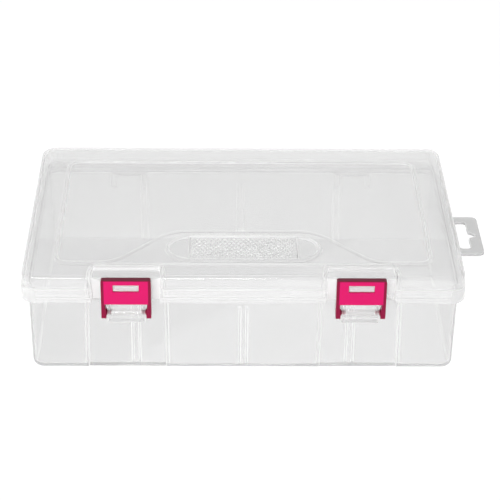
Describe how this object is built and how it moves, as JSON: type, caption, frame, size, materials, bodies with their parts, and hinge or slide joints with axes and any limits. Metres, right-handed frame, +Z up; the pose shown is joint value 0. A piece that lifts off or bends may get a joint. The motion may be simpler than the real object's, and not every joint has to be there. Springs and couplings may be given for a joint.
{
  "type": "storage case",
  "caption": "Flat rectangular clear plastic storage case with a hinged lid, front snap latches, divider ribs inside, a grip hollow in the lid and a hang tab at one side",
  "frame": {"origin": "middle of the tray's flat underside", "axes": "+Z up, +X to the right along the case's width, towards the hang tab, -Y towards the latches at the front"},
  "size_m": [0.272, 0.1686, 0.0652],
  "materials": {
    "clear_polypropylene": "natural clear polypropylene, moulded, slightly milky",
    "pink_polypropylene": "translucent magenta polypropylene, moulded"
  },
  "bodies": {
    "base": {"base_tray": "clear_polypropylene"},
    "lid": {"lid": "clear_polypropylene"},
    "latch_left": {"latch_left": "pink_polypropylene"},
    "latch_right": {"latch_right": "pink_polypropylene"}
  },
  "joints": [
    {"name": "lid_hinge", "type": "hinge", "parent": "base", "child": "lid", "pos_m": [0, 0.0843, 0.045], "axis": [-1, 0, 0], "range_deg": [0, 180]},
    {"name": "latch_left_pivot", "type": "hinge", "parent": "base", "child": "latch_left", "pos_m": [-0.067, -0.0781, 0.0398], "axis": [1, 0, 0], "range_deg": [0, 165]},
    {"name": "latch_right_pivot", "type": "hinge", "parent": "base", "child": "latch_right", "pos_m": [0.067, -0.0781, 0.0398], "axis": [1, 0, 0], "range_deg": [0, 165]}
  ]
}
